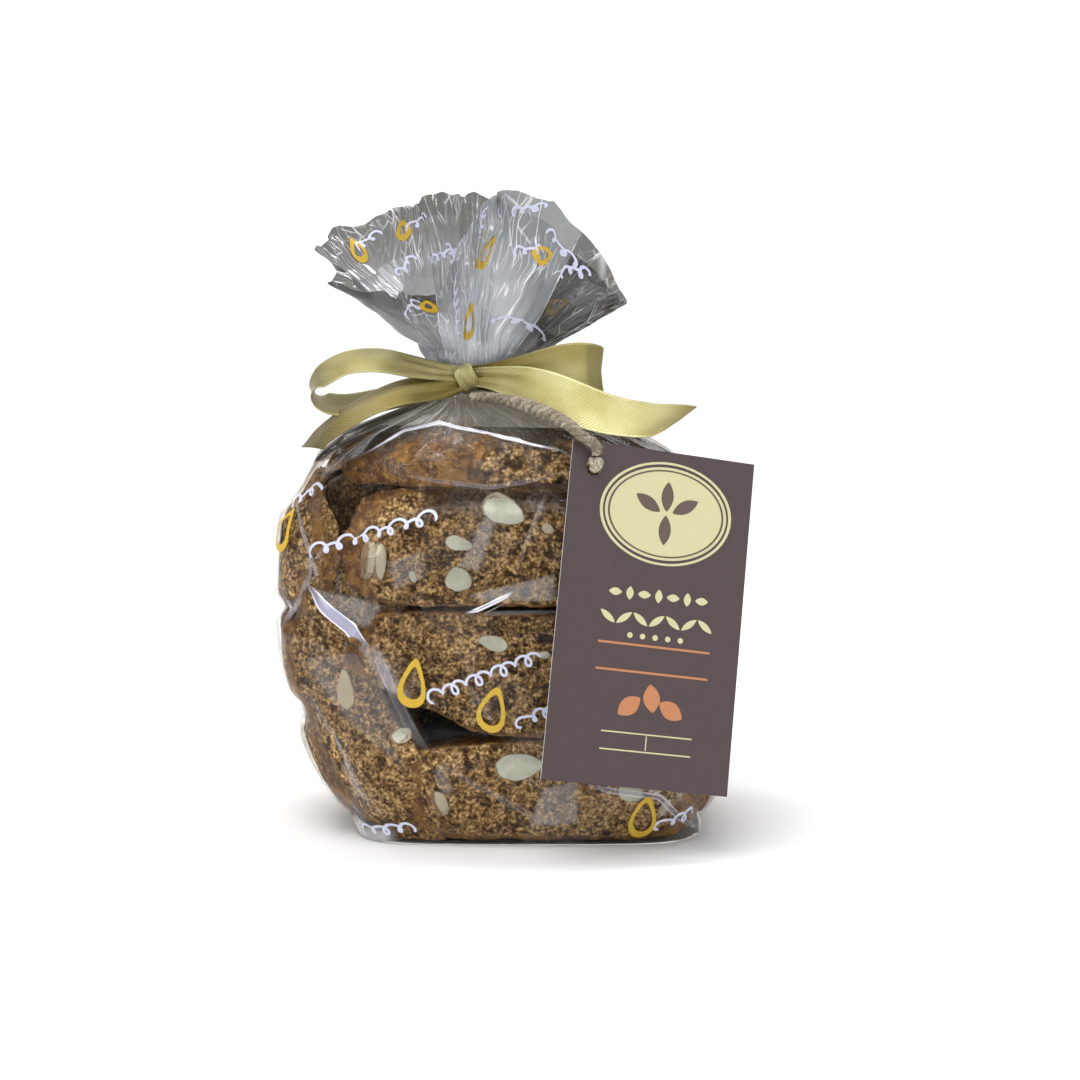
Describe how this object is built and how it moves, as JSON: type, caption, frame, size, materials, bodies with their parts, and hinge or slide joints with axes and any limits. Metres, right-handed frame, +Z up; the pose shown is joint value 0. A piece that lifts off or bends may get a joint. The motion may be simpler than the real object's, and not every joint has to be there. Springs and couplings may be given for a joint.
{
  "type": "sealed film bag of almond biscotti with ribbon and tag",
  "caption": "Clear film bag of sliced almond biscotti, neck gathered and tied with a satin ribbon bow, with a card tag hanging on a short twine.",
  "frame": {"origin": "on the surface that the pack stands on, under the middle of the box round the bag, ribbon and tag", "axes": "+Z up through the pack, -Y out of its front, +X to the right as the front is seen"},
  "size_m": [0.1322, 0.0976, 0.18],
  "materials": {
    "film": "clear crisp film, glossy, with printed shapes",
    "biscuit": "baked open crumb, dry and matt",
    "almond": "cut almond, pale cream, matt",
    "satin": "gold satin ribbon with a fine cross rib",
    "card": "printed card, satin",
    "jute": "twisted hairy twine"
  },
  "bodies": {
    "root": {"bag": "film", "ribbon": "satin", "tag": "card", "twine": "jute", "twine_knot": "jute"}
  },
  "joints": []
}
